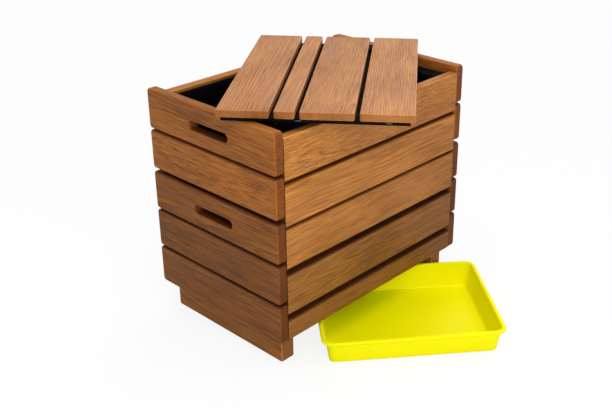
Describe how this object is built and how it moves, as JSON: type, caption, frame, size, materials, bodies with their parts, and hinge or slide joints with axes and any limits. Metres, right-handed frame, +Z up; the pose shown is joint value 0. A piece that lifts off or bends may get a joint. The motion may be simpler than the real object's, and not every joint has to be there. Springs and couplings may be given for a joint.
{
  "type": "wormery",
  "caption": "Slatted wooden wormery of stacking modules with hand slots, on plinth boards, its slatted lid laid askew and its plastic liquid tray half drawn out.",
  "frame": {"origin": "on the ground, under the middle of everything: box, askew lid and drawn-out tray", "axes": "+X along the box from the left end to the right end, +Y towards the back long side, away from the tray, +Z up"},
  "size_m": [0.6572, 0.7662, 0.5649],
  "materials": {
    "end_slat_wood": "brown stained pine, satin, rounded edges",
    "long_slat_wood": "golden brown stained pine, satin, rounded edges",
    "lid_wood": "lighter pinkish stained pine, satin, rounded edges",
    "plinth_wood": "brown stained pine, satin",
    "frame_timber": "planed pine, stained",
    "black_liner": "matt black woven ground sheet",
    "tray_plastic": "fluorescent yellow moulded plastic"
  },
  "bodies": {
    "lower_module": {"lower_end_slat_left_1": "end_slat_wood", "lower_end_slat_left_2": "end_slat_wood", "lower_end_slat_left_3": "end_slat_wood", "lower_end_slat_right_1": "end_slat_wood", "lower_end_slat_right_2": "end_slat_wood", "lower_end_slat_right_3": "end_slat_wood", "lower_long_slat_front_1": "long_slat_wood", "lower_long_slat_front_2": "long_slat_wood", "lower_long_slat_front_3": "long_slat_wood", "lower_long_slat_back_1": "long_slat_wood", "lower_long_slat_back_2": "long_slat_wood", "lower_long_slat_back_3": "long_slat_wood", "plinth_board_left": "plinth_wood", "plinth_board_right": "plinth_wood", "lower_post_left_front": "frame_timber", "lower_post_left_back": "frame_timber", "lower_post_right_front": "frame_timber", "lower_post_right_back": "frame_timber", "lower_ledger_front": "frame_timber", "lower_ledger_back": "frame_timber", "lower_floor_slat_1": "frame_timber", "lower_floor_slat_2": "frame_timber", "lower_floor_slat_3": "frame_timber", "lower_floor_slat_4": "frame_timber", "lower_floor_slat_5": "frame_timber", "lower_floor_slat_6": "frame_timber", "lower_liner": "black_liner"},
    "upper_module": {"upper_end_slat_left_1": "end_slat_wood", "upper_end_slat_left_2": "end_slat_wood", "upper_end_slat_right_1": "end_slat_wood", "upper_end_slat_right_2": "end_slat_wood", "upper_long_slat_front_1": "long_slat_wood", "upper_long_slat_front_2": "long_slat_wood", "upper_long_slat_back_1": "long_slat_wood", "upper_long_slat_back_2": "long_slat_wood", "upper_post_left_front": "frame_timber", "upper_post_left_back": "frame_timber", "upper_post_right_front": "frame_timber", "upper_post_right_back": "frame_timber", "upper_ledger_front": "frame_timber", "upper_ledger_back": "frame_timber", "upper_floor_slat_1": "frame_timber", "upper_floor_slat_2": "frame_timber", "upper_floor_slat_3": "frame_timber", "upper_floor_slat_4": "frame_timber", "upper_floor_slat_5": "frame_timber", "upper_floor_slat_6": "frame_timber", "upper_liner": "black_liner"},
    "lid": {"lid_slat_1": "lid_wood", "lid_slat_2": "lid_wood", "lid_slat_3": "lid_wood", "lid_slat_4": "lid_wood", "lid_batten_near": "frame_timber", "lid_batten_far": "frame_timber", "lid_sheet": "black_liner"},
    "tray": {"tray": "tray_plastic"}
  },
  "joints": [
    {"name": "module_lift", "type": "slide", "parent": "lower_module", "child": "upper_module", "axis": [0, 0, 1], "range_m": [0, 0.25]},
    {"name": "lid_lift", "type": "slide", "parent": "upper_module", "child": "lid", "axis": [0, 0, 1], "range_m": [0, 0.25]},
    {"name": "tray_slide", "type": "slide", "parent": "lower_module", "child": "tray", "axis": [0, -1, 0], "range_m": [-0.055, 0.2]}
  ]
}
